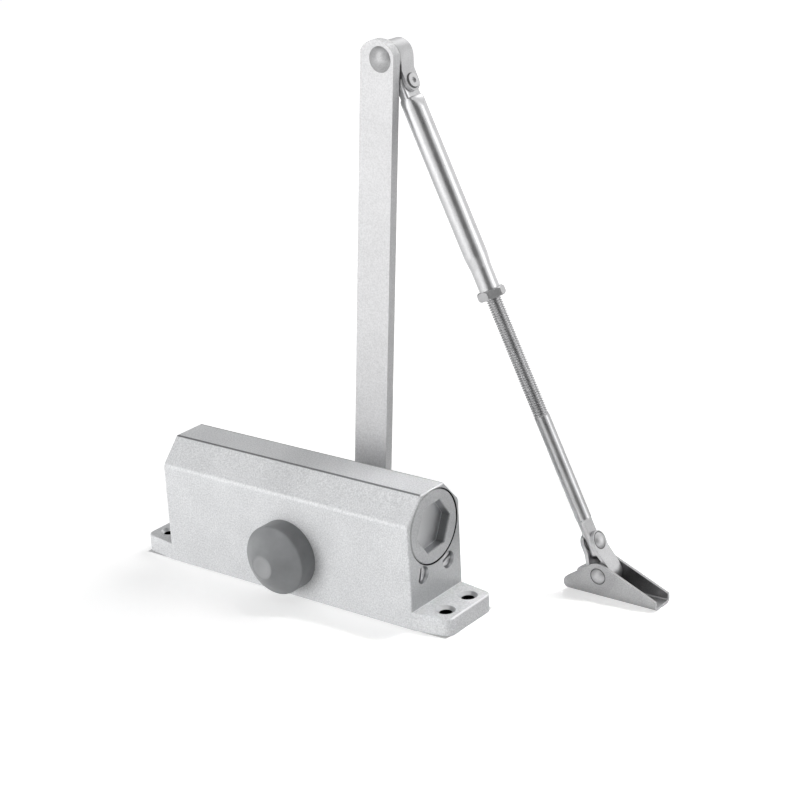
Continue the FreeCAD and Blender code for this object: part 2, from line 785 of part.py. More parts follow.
def folded_strap(radius, angle, gap, rivet_rise):
    """Strip of steel folded round a pin, its two legs drilled for a rivet and rounded at their ends."""
    half = strap_width / 2
    width = V(0, strap_width, 0)
    reach = rivet_rise + half
    outer = loop_region(radius, gap / 2 + strap_thickness, angle, reach)
    inner = loop_region(radius - strap_thickness, gap / 2, angle, reach + cut_past)
    strap = moved(outer.extrude(width).cut(inner.extrude(width)), V(0, -half, 0))
    side = 2 * radius
    plan = block(V(-side, -half, -side), V(side, half, rivet_rise))
    plan = plan.fuse(rod(half, V(-side, 0, rivet_rise), V(side, 0, rivet_rise)))
    strap = strap.common(plan.removeSplitter())
    return strap.cut(rod(rivet_radius, V(-side, 0, rivet_rise), V(side, 0, rivet_rise)))


elbow_gap = flat_thickness + 2 * leg_clearance
link_gap = tongue_thickness + 2 * leg_clearance


def elbow_strap():
    strap = folded_strap(elbow_strap_radius, elbow_strap_angle, elbow_gap, elbow_rivet_drop)
    return moved(strap, strap_centre, link_frame.multiply(turned(Y_DIR, 180)))


def shoe_link():
    strap = folded_strap(link_radius, link_angle, link_gap, link_rivet_rise)
    return moved(strap, shoe_pin, link_frame)


def elbow_rivet():
    """Hollow-ended rivet across the elbow strap."""
    face = elbow_gap / 2 + strap_thickness
    rivet = rod(rivet_radius, V(-face, 0, 0), V(face, 0, 0))
    for side in (1, -1):
        head = rod(ring_head_radius, V(side * face, 0, 0), V(side * (face + ring_head_height), 0, 0))
        hole = rod(ring_hole_radius, V(side * face, 0, 0), V(side * (face + ring_head_height), 0, 0))
        rivet = rivet.fuse(head).cut(hole)
    return moved(rivet.removeSplitter(), elbow_rivet_centre, link_frame)


def link_rivet():
    """Round-head rivet across the shoe link."""
    face = link_gap / 2 + strap_thickness
    rivet = rod(rivet_radius, V(-face, 0, 0), V(face, 0, 0))
    for side in (1, -1):
        rivet = rivet.fuse(dome(rivet_head_radius, rivet_head_height, V(side * face, 0, 0), V(side, 0, 0)))
    return moved(rivet.removeSplitter(), link_rivet_centre, link_frame)


def pressed_section(half_x, half_y, power, z):
    """Closed superellipse at a height, begun at a corner: power 2 is an ellipse, 5 nearly a rectangle."""
    points = []
    count = 32
    for k in range(count):
        angle = 2 * math.pi * k / count + math.pi / 4
        c, s = math.cos(angle), math.sin(angle)
        points.append(V(half_x * math.copysign(abs(c) ** (2 / power), c),
                        half_y * math.copysign(abs(s) ** (2 / power), s), z))
    curve = Part.BSplineCurve()
    curve.interpolate(points, True)
    return Part.Wire(curve.toShape())


flat_power = 5
round_power = 2
shoulder_steps = 4


def shoulder_section(share, z):
    """Section of the tube at a height: share 0 is its pressed flat, 1 its full round."""
    return pressed_section(flat_thickness / 2 + (tube_radius - flat_thickness / 2) * share,
                           flat_width / 2 + (tube_radius - flat_width / 2) * share,
                           flat_power + (round_power - flat_power) * share, z)


def forearm_tube():
    """Steel tube: its top pressed flat for the rivet with a rounded shoulder below, its foot swaged down
    and bored for the rod."""
    flat_top = flat_width / 2
    neck_end = -tube_length + neck_land
    sections = [shoulder_section(0, flat_top)]
    for k in range(shoulder_steps + 1):
        quarter = math.pi / 2 * k / shoulder_steps
        drop = tube_blend_length * (1 - math.cos(quarter))
        sections.append(shoulder_section(math.sin(quarter), -flat_length - drop))
    sections += [shoulder_section(1, neck_end + neck_length),
                 pressed_section(neck_radius, neck_radius, round_power, neck_end),
                 pressed_section(neck_radius, neck_radius, round_power, -tube_length)]
    tube = Part.makeLoft(sections, True, True)
    corners = block(V(-tube_radius, -flat_width, 0), V(tube_radius, flat_width, flat_width))
    tube = tube.cut(corners.cut(rod(flat_top, V(-tube_radius, 0, 0), V(tube_radius, 0, 0))))
    bore_top = -tube_length + rod_engagement + rod_travel + rod_end_room
    tube = tube.cut([rod(rod_radius + rod_bore_clearance, V(0, 0, -tube_length), V(0, 0, bore_top)),
                     rod(rivet_radius + running_clearance, V(-tube_radius, 0, 0), V(tube_radius, 0, 0))])
    return moved(tube, elbow_rivet_centre, forearm_frame)


def lock_nut():
    """Thin hexagon nut with chamfered corners, run up against the tube's foot."""
    top = -tube_length - side_play
    nut = moved(hexagon(nut_width, nut_thickness), V(0, 0, top - nut_thickness), turned(Z_DIR, nut_turn))
    corner = nut_width / math.sqrt(3)
    rim = corner - nut_width / 2
    rounding = rod(corner, V(0, 0, top - nut_thickness), V(0, 0, top))
    for base, away in ((top, -1), (top - nut_thickness, 1)):
        bevel = rod(corner + cut_past, V(0, 0, base), V(0, 0, base + away * rim))
        bevel = bevel.cut(taper(nut_width / 2, corner + rim, V(0, 0, base), V(0, 0, base + away * 2 * rim)))
        rounding = rounding.cut(bevel)
    nut = nut.common(rounding)
    nut = nut.cut(rod(rod_radius + rod_bore_clearance, V(0, 0, top - nut_thickness), V(0, 0, top)))
    return moved(nut, elbow_rivet_centre, forearm_frame)


def forearm_rod():
    """Round rod whose foot is milled to a flat tongue with a rounded end."""
    hinge = -forearm_run.Length
    top = -tube_length + rod_engagement
    shoulder = hinge + tongue_shoulder
    body = rod(rod_radius, V(0, 0, top), V(0, 0, shoulder))
    tip = hinge - tongue_end
    half = tongue_thickness / 2
    tongue = block(V(-half, -rod_radius, tip), V(half, rod_radius, shoulder))
    tongue = tongue.common(rod(rod_radius, V(0, 0, tip), V(0, 0, shoulder)))
    end_centre = tip + rod_radius
    plan = block(V(-rod_radius, -rod_radius, end_centre), V(rod_radius, rod_radius, shoulder))
    plan = plan.fuse(rod(rod_radius, V(-rod_radius, 0, end_centre), V(rod_radius, 0, end_centre)))
    body = body.fuse(tongue.common(plan)).removeSplitter()
    body = body.cut(rod(rivet_radius + running_clearance, V(-rod_radius, 0, hinge), V(rod_radius, 0, hinge)))
    return moved(body, elbow_rivet_centre, forearm_frame)


shoe_inner = strap_width / 2 + shoe_side_gap
shoe_outer = shoe_inner + shoe_wall


def upper_tangent(centre_a, radius_a, centre_b, radius_b):
    """Touching points of the line that lies on top of two circles in the XZ plane."""
    run = centre_b - centre_a
    lean = math.atan2(run.z, run.x)
    turn = lean + math.acos((radius_a - radius_b) / run.Length)
    normal = V(math.cos(turn), 0, math.sin(turn))
    return centre_a + normal * radius_a, centre_b + normal * radius_b


def shoe_outline():
    """Cheek outline: round nose, round top about the pin and a long sloping tail."""
    pin = V(0, 0, shoe_pin_height)
    nose = V(shoe_nose_radius - shoe_nose_reach, 0, shoe_nose_radius)
    tail_top = V(shoe_tail_reach, 0, shoe_tail_height)
    nose_touch, left_touch = upper_tangent(nose, shoe_nose_radius, pin, shoe_cheek_radius)
    right_touch, tail_touch = upper_tangent(pin, shoe_cheek_radius, tail_top, 0)
    points = [V(nose.x, 0, 0), V(shoe_tail_reach, 0, 0), tail_touch, right_touch]
    edges = [Part.LineSegment(a, b).toShape() for a, b in zip(points, points[1:])]
    edges.append(Part.Arc(right_touch, pin + V(0, 0, shoe_cheek_radius), left_touch).toShape())
    edges.append(Part.LineSegment(left_touch, nose_touch).toShape())
    edges.append(Part.Arc(nose_touch, nose - V(shoe_nose_radius, 0, 0), points[0]).toShape())
    return Part.Face(Part.Wire(edges))


def trough(half, floor, top, bend):
    """Bar along X whose two lower edges are rounded, with its underside at a height."""
    reach = shoe_tail_reach + shoe_nose_reach
    bar = block(V(-reach, -half, floor), V(reach, half, top))
    bends = edges_along(bar, X_DIR, lambda middle: middle.z < floor + edge_tolerance)
    return bar.makeFillet(bend, bends)


def shoe():
    """Pressed channel that screws to the door frame: two cheeks, a base and two screw holes."""
    top = shoe_pin_height + shoe_cheek_radius + cut_past
    channel = trough(shoe_outer, 0, top, shoe_bend_radius + shoe_wall)
    channel = channel.cut(trough(shoe_inner, shoe_wall, top, shoe_bend_radius))
    cheeks = moved(shoe_outline().extrude(V(0, 2 * shoe_outer, 0)), V(0, -shoe_outer, 0))
    cuts = [rod(shoe_pin_radius, V(0, -shoe_outer, shoe_pin_height), V(0, shoe_outer, shoe_pin_height))]
    for x in (shoe_hole_ahead, -shoe_hole_behind):
        cuts.append(rod(shoe_hole_radius, V(x, 0, -cut_past), V(x, 0, shoe_wall + cut_past)))
    return moved(channel.common(cheeks).cut(cuts), V(shoe_pin.x, shoe_middle, 0))


def shoe_rivet():
    """Shouldered rivet through both cheeks with domed heads; the link turns on its shoulder."""
    def at(y):
        return V(shoe_pin.x, shoe_middle + y, shoe_pin_height)
    bearing = link_radius - strap_thickness - running_clearance
    rivet = rod(shoe_pin_radius, at(-shoe_outer), at(shoe_outer))
    rivet = rivet.fuse(rod(bearing, at(-shoe_inner), at(shoe_inner)))
    for side in (1, -1):
        rivet = rivet.fuse(dome(shoe_head_radius, shoe_head_height, at(side * shoe_outer), V(0, side, 0)))
    return rivet.removeSplitter()


pieces = {
    "body_housing": body_housing(),
    "valve_end_plug": end_plug(valve_plug_length, 1),
    "spring_end_plug": end_plug(spring_plug_length, -1),
    "end_plug_seals": end_plug_seals(),
    "piston": piston(),
    "piston_seal": piston_seal(),
    "check_valve_ball": check_valve_ball(),
    "closing_spring": closing_spring(),
    "pinion": pinion(),
    "pinion_glands": both_sides(gland),
    "pinion_bushes": both_sides(bush),
    "pinion_seals": both_sides(shaft_seal),
    "closing_speed_valve": speed_valve(-valve_spacing / 2, closing_slot_turn),
    "latching_speed_valve": speed_valve(valve_spacing / 2, latching_slot_turn),
    "closing_valve_seal": valve_seal(-valve_spacing / 2),
    "latching_valve_seal": valve_seal(valve_spacing / 2),
    "pinion_cap": pinion_cap(),
    "main_arm": main_arm(),
    "arm_washer": arm_washer(),
    "arm_screw": arm_screw(),
    "elbow_pin": elbow_pin_part(),
    "elbow_washer": elbow_washer(),
    "elbow_strap": elbow_strap(),
    "elbow_rivet": elbow_rivet(),
    "forearm_tube": forearm_tube(),
    "lock_nut": lock_nut(),
    "forearm_rod": forearm_rod(),
    "shoe_link": shoe_link(),
    "link_rivet": link_rivet(),
    "shoe": shoe(),
    "shoe_rivet": shoe_rivet(),
}

os.makedirs("parts", exist_ok=True)
for name, shape in pieces.items():
    shape.exportStep("parts/" + name + ".step")

print("elbow pin", elbow_pin, "shoe pin", shoe_pin)
print("elbow rivet", elbow_rivet_centre, "link rivet", link_rivet_centre)
print("forearm down", forearm_frame.multVec(V(0, 0, -1)), "rivet axis", forearm_side)
print("piston travel", piston_stroke, "body", body_length, body_width, body_height)
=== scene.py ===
import json
import math

import bmesh
import bpy
import numpy as np
from mathutils import Matrix, Vector


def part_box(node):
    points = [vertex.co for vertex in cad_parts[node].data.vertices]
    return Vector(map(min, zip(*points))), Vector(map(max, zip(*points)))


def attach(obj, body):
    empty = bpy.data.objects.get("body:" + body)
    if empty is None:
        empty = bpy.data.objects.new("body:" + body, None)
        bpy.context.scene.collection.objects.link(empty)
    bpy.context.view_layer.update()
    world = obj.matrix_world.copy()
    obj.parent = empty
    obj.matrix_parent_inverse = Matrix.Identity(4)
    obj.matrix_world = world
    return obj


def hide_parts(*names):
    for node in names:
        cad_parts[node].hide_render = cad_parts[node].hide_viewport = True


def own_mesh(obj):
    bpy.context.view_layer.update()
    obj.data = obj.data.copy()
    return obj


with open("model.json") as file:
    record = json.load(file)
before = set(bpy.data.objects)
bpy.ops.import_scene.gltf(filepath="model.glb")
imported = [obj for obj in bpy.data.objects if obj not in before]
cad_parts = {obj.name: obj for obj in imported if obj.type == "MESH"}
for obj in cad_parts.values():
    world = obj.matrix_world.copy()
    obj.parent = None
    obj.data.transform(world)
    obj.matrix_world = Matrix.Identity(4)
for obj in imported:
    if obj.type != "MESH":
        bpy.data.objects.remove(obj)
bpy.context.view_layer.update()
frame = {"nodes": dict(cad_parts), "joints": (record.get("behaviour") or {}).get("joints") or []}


# Body casting and end plugs.
# One aluminium pressure casting, machined for the piston and the pinion, then closed by
# its two screwed plugs and sprayed with a fine silver paint that shows its flake.

def linear(code):
    """Linear colour of an sRGB hex code such as "#c8c9cb"."""
    channels = np.array([int(code[i:i + 2], 16) for i in (1, 3, 5)]) / 255
    return (*np.where(channels <= 0.04045, channels / 12.92, ((channels + 0.055) / 1.055) ** 2.4), 1.0)


def add(tree, kind, inputs=None, **settings):
    """Adds one node: a socket given as an input is linked, any other value is set."""
    made = tree.nodes.new(kind)
    for name, value in settings.items():
        setattr(made, name, value)
    for name, value in (inputs or {}).items():
        if isinstance(value, bpy.types.NodeSocket):
            tree.links.new(value, made.inputs[name])
        else:
            made.inputs[name].default_value = value
    return made


def new_material(name):
    """Empty node material: its tree and the Object coordinates that its patterns read."""
    material = bpy.data.materials.new(name)
    material.use_nodes = True
    tree = material.node_tree
    tree.nodes.clear()
    place = add(tree, "ShaderNodeTexCoord").outputs["Object"]
    return material, tree, place


def per_metre(size_mm):
    """Noise scale whose blotches are about this many millimetres wide."""
    return 1000 / size_mm


noise_low, noise_high = 0.3, 0.7


def ramp(tree, noise, dark, pale):
    """Colour that runs from one hex code to another over the span that nearly all of a noise falls in."""
    made = add(tree, "ShaderNodeValToRGB", {"Fac": noise})
    first, last = made.color_ramp.elements
    first.position, first.color = noise_low, linear(dark)
    last.position, last.color = noise_high, linear(pale)
    return made.outputs["Color"]


def over_noise(tree, noise, low, high):
    """Value that runs from low to high over the same span."""
    return add(tree, "ShaderNodeMapRange", {"Value": noise, "From Min": noise_low, "From Max": noise_high,
                                            "To Min": low, "To Max": high}).outputs["Result"]


def finish_shader(tree, inputs):
    """Principled shader wired to the material's output."""
    shader = add(tree, "ShaderNodeBsdfPrincipled", inputs)
    add(tree, "ShaderNodeOutputMaterial", {"Surface": shader.outputs["BSDF"]})


def nearness(tree, place, point, ring, inner, outer, strength, slant=None):
    """Strength that fades out between two distances from a line, plane or point: the axes that the point
    leaves out run free, or the line runs along a slanting direction; a ring stands about it at its
    radius, and the place is folded at Y = 0."""
    axes = add(tree, "ShaderNodeSeparateXYZ", {"Vector": place})
    far_side = add(tree, "ShaderNodeMath", {0: axes.outputs["Y"]}, operation="ABSOLUTE")
    folded = add(tree, "ShaderNodeCombineXYZ", {"X": axes.outputs["X"], "Y": far_side.outputs[0],
                                                "Z": axes.outputs["Z"]})
    offset = add(tree, "ShaderNodeVectorMath", {0: folded.outputs[0], 1: [value or 0.0 for value in point]},
                 operation="SUBTRACT")
    if slant is None:
        kept = [0.0 if value is None else 1.0 for value in point]
        flat = add(tree, "ShaderNodeVectorMath", {0: offset.outputs[0], 1: kept}, operation="MULTIPLY")
    else:
        flat = add(tree, "ShaderNodeVectorMath", {0: offset.outputs[0], 1: slant}, operation="CROSS_PRODUCT")
    away = add(tree, "ShaderNodeVectorMath", {0: flat.outputs[0]}, operation="LENGTH")
    past = add(tree, "ShaderNodeMath", {0: away.outputs["Value"], 1: ring}, operation="SUBTRACT")
    distance = add(tree, "ShaderNodeMath", {0: past.outputs[0]}, operation="ABSOLUTE")
    fade = add(tree, "ShaderNodeMapRange", {"Value": distance.outputs[0], "From Min": inner,
                                            "From Max": outer, "To Min": strength, "To Max": 0.0})
    return fade.outputs["Result"]


def tinted(tree, colour, near, tint):
    """Colour mixed with a hex tint by a strength."""
    return add(tree, "ShaderNodeMix", {"Factor": near, "A": colour, "B": linear(tint)},
               data_type="RGBA").outputs["Result"]


def sprayed_silver(name, dark, pale, flake_mm, metallic, bare_and_painted_lines=()):
    """Silver spray paint: aluminium flake in a clear binder over a faint orange peel, so a soft speckled
    sheen; at the given lines the colour is tinted and the metal made bare and smoother, which draws
    bare machined metal and also painted shade and painted highlights.  The flake is drawn about ten
    times too coarse, or it would not show."""
    gloss, dull, line_gloss = 0.44, 0.6, 0.34
    material, tree, place = new_material(name)
    flake = add(tree, "ShaderNodeTexNoise", {"Vector": place, "Scale": per_metre(flake_mm), "Detail": 3.0})
    cloud = add(tree, "ShaderNodeTexNoise", {"Vector": place, "Scale": per_metre(22), "Detail": 3.0})
    speck = add(tree, "ShaderNodeMix", {"Factor": 0.2, "A": flake.outputs["Fac"], "B": cloud.outputs["Fac"]})
    colour = ramp(tree, speck.outputs["Result"], dark, pale)
    rough = over_noise(tree, flake.outputs["Fac"], gloss, dull)
    for point, ring, inner, outer, tint, strength in bare_and_painted_lines:
        near = nearness(tree, place, point, ring, inner, outer, strength)
        colour = tinted(tree, colour, near, tint)
        metallic = add(tree, "ShaderNodeMix", {"Factor": near, "A": metallic, "B": 1.0}).outputs["Result"]
        rough = add(tree, "ShaderNodeMix", {"Factor": near, "A": rough, "B": line_gloss}).outputs["Result"]
    peel = add(tree, "ShaderNodeTexNoise", {"Vector": place, "Scale": per_metre(2.6), "Detail": 2.0})
    wave = add(tree, "ShaderNodeBump", {"Height": peel.outputs["Fac"], "Strength": 0.25, "Distance": 0.00012})
    grain = add(tree, "ShaderNodeBump", {"Height": flake.outputs["Fac"], "Strength": 0.2, "Distance": 0.00006,
                                         "Normal": wave.outputs["Normal"]})
    finish_shader(tree, {"Base Color": colour, "Metallic": metallic, "Roughness": rough,
                         "Normal": grain.outputs["Normal"]})
    return material


def welding_group():
    """Modifier group that welds loose triangles and shades them smooth up to a sharp edge."""
    weld_distance, sharp_angle = 2e-6, math.radians(32)
    group = bpy.data.node_groups.new("weld and smooth", "GeometryNodeTree")
    group.interface.new_socket("Geometry", in_out="INPUT", socket_type="NodeSocketGeometry")
    group.interface.new_socket("Geometry", in_out="OUTPUT", socket_type="NodeSocketGeometry")
    start = add(group, "NodeGroupInput").outputs[0]
    weld = add(group, "GeometryNodeMergeByDistance", {"Geometry": start, "Distance": weld_distance})
    smooth = add(group, "GeometryNodeSetShadeSmooth", {"Geometry": weld.outputs[0], "Shade Smooth": True},
                 domain="FACE")
    angle = add(group, "GeometryNodeInputMeshEdgeAngle").outputs["Unsigned Angle"]
    sharp = add(group, "FunctionNodeCompare", {0: angle, 1: sharp_angle}, operation="GREATER_THAN")
    edged = add(group, "GeometryNodeSetShadeSmooth", {"Geometry": smooth.outputs[0], "Shade Smooth": False,
                                                      "Selection": sharp.outputs[0]}, domain="EDGE")
    add(group, "NodeGroupOutput", {0: edged.outputs[0]})
    return group


weld_and_smooth = welding_group()


def dress(names, material):
    """Gives CAD nodes a material and smooth shading."""
    for name in names:
        piece = frame["nodes"][name]
        piece.data.materials.clear()
        piece.data.materials.append(material)
        piece.modifiers.new("weld", "NODES").node_group = weld_and_smooth
        piece.modifiers.new("flat faces stay flat", "WEIGHTED_NORMAL").keep_sharp = True


top_edge_y, top_edge_z = 0.0094, 0.0678
screw_hole_x, screw_hole_y, screw_hole_radius = 0.093, 0.0095, 0.00325
countersink_radius = 0.005
body_end_x, foot_end_x, foot_top_z = 0.081, 0.1015, 0.0093
valve_floor_x, valve_y, valve_z, valve_mouth_reach = 0.0792, 0.0106, 0.0257, 0.0049
plug_z, plug_gap_radius, plug_gap_half = 0.0478, 0.0194, 0.0003
crisp_fade = 0.0001


def bare_and_painted_mark(point, tint, strength, reach, fade=crisp_fade, ring=0.0):
    """Tint about a place, which draws bare machined metal and also painted shade and painted highlights:
    how far it reaches from there, or from a ring, and the width over which it fades out; a negative
    width leaves the place itself as sprayed and tints what lies beyond the reach."""
    return point, ring, reach, reach + fade, tint, strength


# Painted shade: a dark line along the top edges of the front and back, and a painted shadow in the gap round
# the end plug; the valve mouths are bare machined metal.
bare_and_painted = [bare_and_painted_mark((None, top_edge_y, top_edge_z), "#5c5d5f", 0.75, reach=0.0004, fade=0.0004),
        bare_and_painted_mark((valve_floor_x, valve_y, valve_z), "#a9aaac", 1.0, reach=valve_mouth_reach - crisp_fade),
        bare_and_painted_mark((None, 0.0, plug_z), "#1c1c1d", 1.0, reach=plug_gap_half, ring=plug_gap_radius)]
for side in (1, -1):
    screw_hole = (side * screw_hole_x, screw_hole_y, None)
    end_face = (side * body_end_x, None, None)
    end_top_edge = (side * body_end_x, None, top_edge_z)
    foot_corner = (side * body_end_x, None, foot_top_z)
    foot_end_edge = (side * foot_end_x, None, foot_top_z)
    # Per end: bare machined countersinks, painted shade down the screw bores, a machined and thinly painted
    # end face, and painted highlights along the end's top edge, the corner between end and foot, and the
    # foot's end edge.
    bare_and_painted += [bare_and_painted_mark(screw_hole, "#c9cacb", 1.0, reach=countersink_radius - crisp_fade),
             bare_and_painted_mark(screw_hole, "#1f1f20", 1.0, reach=screw_hole_radius + crisp_fade),
             bare_and_painted_mark(end_face, "#aeb0b1", 0.4, reach=0.00003, fade=0.00003),
             bare_and_painted_mark(end_top_edge, "#f4f4f5", 0.7, reach=0.0004, fade=0.0003),
             bare_and_painted_mark(foot_corner, "#eeeeef", 0.8, reach=0.0002, fade=0.0002),
             bare_and_painted_mark(foot_end_edge, "#eeeeef", 0.8, reach=0.0005, fade=0.0004)]
casting_paint = sprayed_silver("sprayed cast aluminium", "#b6b7b9", "#e0e1e2", flake_mm=0.8, metallic=0.35,
                               bare_and_painted_lines=bare_and_painted)
dress(["body_housing"], casting_paint)
socket_depth, wall_start, wall_full = 0.0055, 0.0004, 0.0014
for side, plug in ((1, "valve_end_plug"), (-1, "spring_end_plug")):
    plug_face = (side * body_end_x, None, None)
    socket_floor = (side * (body_end_x - socket_depth), None, None)
    # Painted shade on the socket walls, darker with depth, with the socket floor tinted pale again.
    socket = [bare_and_painted_mark(plug_face, "#6a6b6e", 0.75, reach=wall_full, fade=wall_start - wall_full),
              bare_and_painted_mark(socket_floor, "#e6e7e8", 0.9, reach=crisp_fade)]
    plug_paint = sprayed_silver("sprayed " + plug.replace("_", " "), "#b4b5b7", "#d2d3d4", flake_mm=0.8,
                                metallic=0.35, bare_and_painted_lines=socket)
    dress([plug], plug_paint)


# Seals.
# Moulded nitrile rubber rings in the plugs, piston, glands and valve screws.

def moulded(name, dark, pale, grain_mm, rough_low, rough_high, pale_line=None):
    """Moulded plastic or rubber: an even colour with a fine spark-eroded grain, and where a line is
    given, a painted highlight that is paler about it."""
    material, tree, place = new_material(name)
    cloud = add(tree, "ShaderNodeTexNoise", {"Vector": place, "Scale": per_metre(9), "Detail": 3.0})
    grit = add(tree, "ShaderNodeTexNoise", {"Vector": place, "Scale": per_metre(grain_mm), "Detail": 2.0})
    colour = ramp(tree, cloud.outputs["Fac"], dark, pale)
    if pale_line:
        point, inner, outer, tint, strength = pale_line
        colour = tinted(tree, colour, nearness(tree, place, point, 0.0, inner, outer, strength), tint)
    rough = add(tree, "ShaderNodeMapRange", {"Value": grit.outputs["Fac"], "To Min": rough_low,
                                             "To Max": rough_high})
    grain = add(tree, "ShaderNodeBump", {"Height": grit.outputs["Fac"], "Strength": 0.25,
                                         "Distance": 0.00006})
    finish_shader(tree, {"Base Color": colour, "Roughness": rough.outputs["Result"],
                         "Normal": grain.outputs["Normal"]})
    return material


rubber = moulded("nitrile rubber", "#161617", "#232325", grain_mm=0.5, rough_low=0.5, rough_high=0.65)
dress(["end_plug_seals", "piston_seal", "pinion_seals", "closing_valve_seal", "latching_valve_seal"],
      rubber)


# Piston, pinion and bearing bushes.
# The machined works inside the casting: a rack cut under the piston turns the pinion,
# which runs in two sintered bronze bushes.

def plated_steel(name, dark, pale, lay_mm, rough_low, rough_high, shade_and_dirt_rings=()):
    """Turned, drawn or plated metal: fine lay lines in its gloss over a slightly cloudy surface, and
    dark rings round a rivet's head, painted contact shadow and dirt where it seats."""
    ring_half, ring_end, ring_strength = 0.0002, 0.0004, 0.85
    material, tree, place = new_material(name)
    cloud = add(tree, "ShaderNodeTexNoise", {"Vector": place, "Scale": per_metre(9), "Detail": 4.0})
    lay = add(tree, "ShaderNodeTexNoise", {"Vector": place, "Scale": per_metre(lay_mm), "Detail": 2.0})
    mixed = add(tree, "ShaderNodeMix", {"Factor": 0.6, "A": cloud.outputs["Fac"], "B": lay.outputs["Fac"]})
    colour = ramp(tree, mixed.outputs["Result"], dark, pale)
    # Painted contact shadow and dirt round each rivet head.
    for point, axis, ring in shade_and_dirt_rings:
        near = nearness(tree, place, point, ring, ring_half, ring_end, ring_strength, axis)
        colour = tinted(tree, colour, near, "#232425")
    rough = over_noise(tree, mixed.outputs["Result"], rough_low, rough_high)
    grain = add(tree, "ShaderNodeBump", {"Height": lay.outputs["Fac"], "Strength": 0.15, "Distance": 0.00005})
    finish_shader(tree, {"Base Color": colour, "Metallic": 1.0, "Roughness": rough,
                         "Normal": grain.outputs["Normal"]})
    return material


bright_steel = plated_steel("machined steel", "#8f9195", "#b0b2b5", lay_mm=0.3, rough_low=0.22,
                            rough_high=0.36)
dress(["piston", "check_valve_ball", "pinion"], bright_steel)
bronze = plated_steel("sintered bronze", "#946a40", "#b3824f", lay_mm=0.4, rough_low=0.35, rough_high=0.5)
dress(["pinion_bushes"], bronze)


# Closing spring.
# Round oil-tempered wire wound into a coil between the spring end plug and the piston;
# the real spring shortens by the piston's whole stroke, but this coil is drawn at one length.

def closed_grid(points, around):
    """Mesh data of a grid of points whose columns close round; its rows close too if around is set."""
    rows, columns = points.shape[:2]
    index = np.arange(rows * columns).reshape(rows, columns)
    low = index if around else index[:-1]
    high = np.roll(index, -1, axis=0) if around else index[1:]
    faces = np.stack([low, np.roll(low, -1, axis=1), np.roll(high, -1, axis=1), high], axis=-1)
    return points.reshape(-1, 3), faces.reshape(-1, 4)


def new_piece(name, parts, material):
    """Object at the origin from mesh data: doubled points and collapsed faces at poles are removed."""
    offsets = np.cumsum([0] + [len(points) for points, _ in parts])
    points = np.concatenate([points for points, _ in parts])
    faces = np.concatenate([faces + offset for (_, faces), offset in zip(parts, offsets)])
    mesh = bpy.data.meshes.new(name)
    mesh.from_pydata(points.tolist(), [], faces.tolist())
    shape = bmesh.new()
    shape.from_mesh(mesh)
    bmesh.ops.remove_doubles(shape, verts=shape.verts, dist=1e-6)
    bmesh.ops.recalc_face_normals(shape, faces=shape.faces)
    shape.to_mesh(mesh)
    shape.free()
    mesh.materials.append(material)
    piece = bpy.data.objects.new(name, mesh)
    bpy.context.collection.objects.link(piece)
    piece.modifiers.new("weld", "NODES").node_group = weld_and_smooth
    return piece


def wire_coil(low, high, wire, coils):
    """Circle carried along a helix about X: angle and x grow together, and the wire's section is
    spanned by the radius and by the binormal; a pole closes each end."""
    mean = (high.y - low.y) / 2 - wire
    middle_y = (low.y + high.y) / 2
    middle_z = (low.z + high.z) / 2
    steps_per_coil, wire_sides = 44, 18
    steps = steps_per_coil * coils
    t = np.concatenate([[0], np.linspace(0, 1, steps), [1]])[:, None]
    section = np.full_like(t, wire)
    section[[0, -1]] = 0
    angle = 2 * math.pi * coils * t
    around = np.linspace(0, 2 * math.pi, wire_sides, endpoint=False)[None, :]
    run = high.x - low.x - 2 * wire
    climb = run / (2 * math.pi * coils * mean)
    lean = 1 / math.hypot(1, climb)
    out = section * np.cos(around)
    across = section * np.sin(around)
    x = low.x + wire + run * t + across * lean
    y = middle_y + (mean + out) * np.sin(angle) - across * climb * lean * np.cos(angle)
    z = middle_z - (mean + out) * np.cos(angle) - across * climb * lean * np.sin(angle)
    return closed_grid(np.stack([x, y, z], axis=-1), False)


spring_wire_radius = 0.002
spring_coils = 7
spring_low, spring_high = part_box("closing_spring")
spring_wire = plated_steel("oil tempered spring wire", "#3b3c3f", "#56575a", lay_mm=0.5, rough_low=0.35,
                           rough_high=0.5)
spring_coil = wire_coil(spring_low, spring_high, spring_wire_radius, spring_coils)
spring = new_piece("closing_spring_wire", [spring_coil], spring_wire)
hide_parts("closing_spring")
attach(spring, "body")
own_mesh(spring)


# Pinion cap.
# A moulded grey plastic cap that is pushed over the collar of the unused gland.
pinion_x, pinion_z, cap_tip_radius = 0.002, 0.023, 0.0064
tip_inset, tip_overlap = 0.0014, 0.0004
cap_axis = (pinion_x, None, pinion_z)
# Painted highlight: a paler disc over the cap's flat tip.
tip_highlight = (cap_axis, cap_tip_radius - tip_inset, cap_tip_radius + tip_overlap, "#8e8f90", 0.8)
cap_plastic = moulded("moulded grey plastic", "#737476", "#7f8182", grain_mm=0.7, rough_low=0.40,
                      rough_high=0.52, pale_line=tip_highlight)
dress(["pinion_cap"], cap_plastic)


# Main arm.
# A flat steel bar, pierced, cranked and sprayed silver like the body but smoother.
arm_paint = sprayed_silver("sprayed steel bar", "#bfbfc0", "#dbdbdc", flake_mm=0.8, metallic=0.4)
dress(["main_arm"], arm_paint)


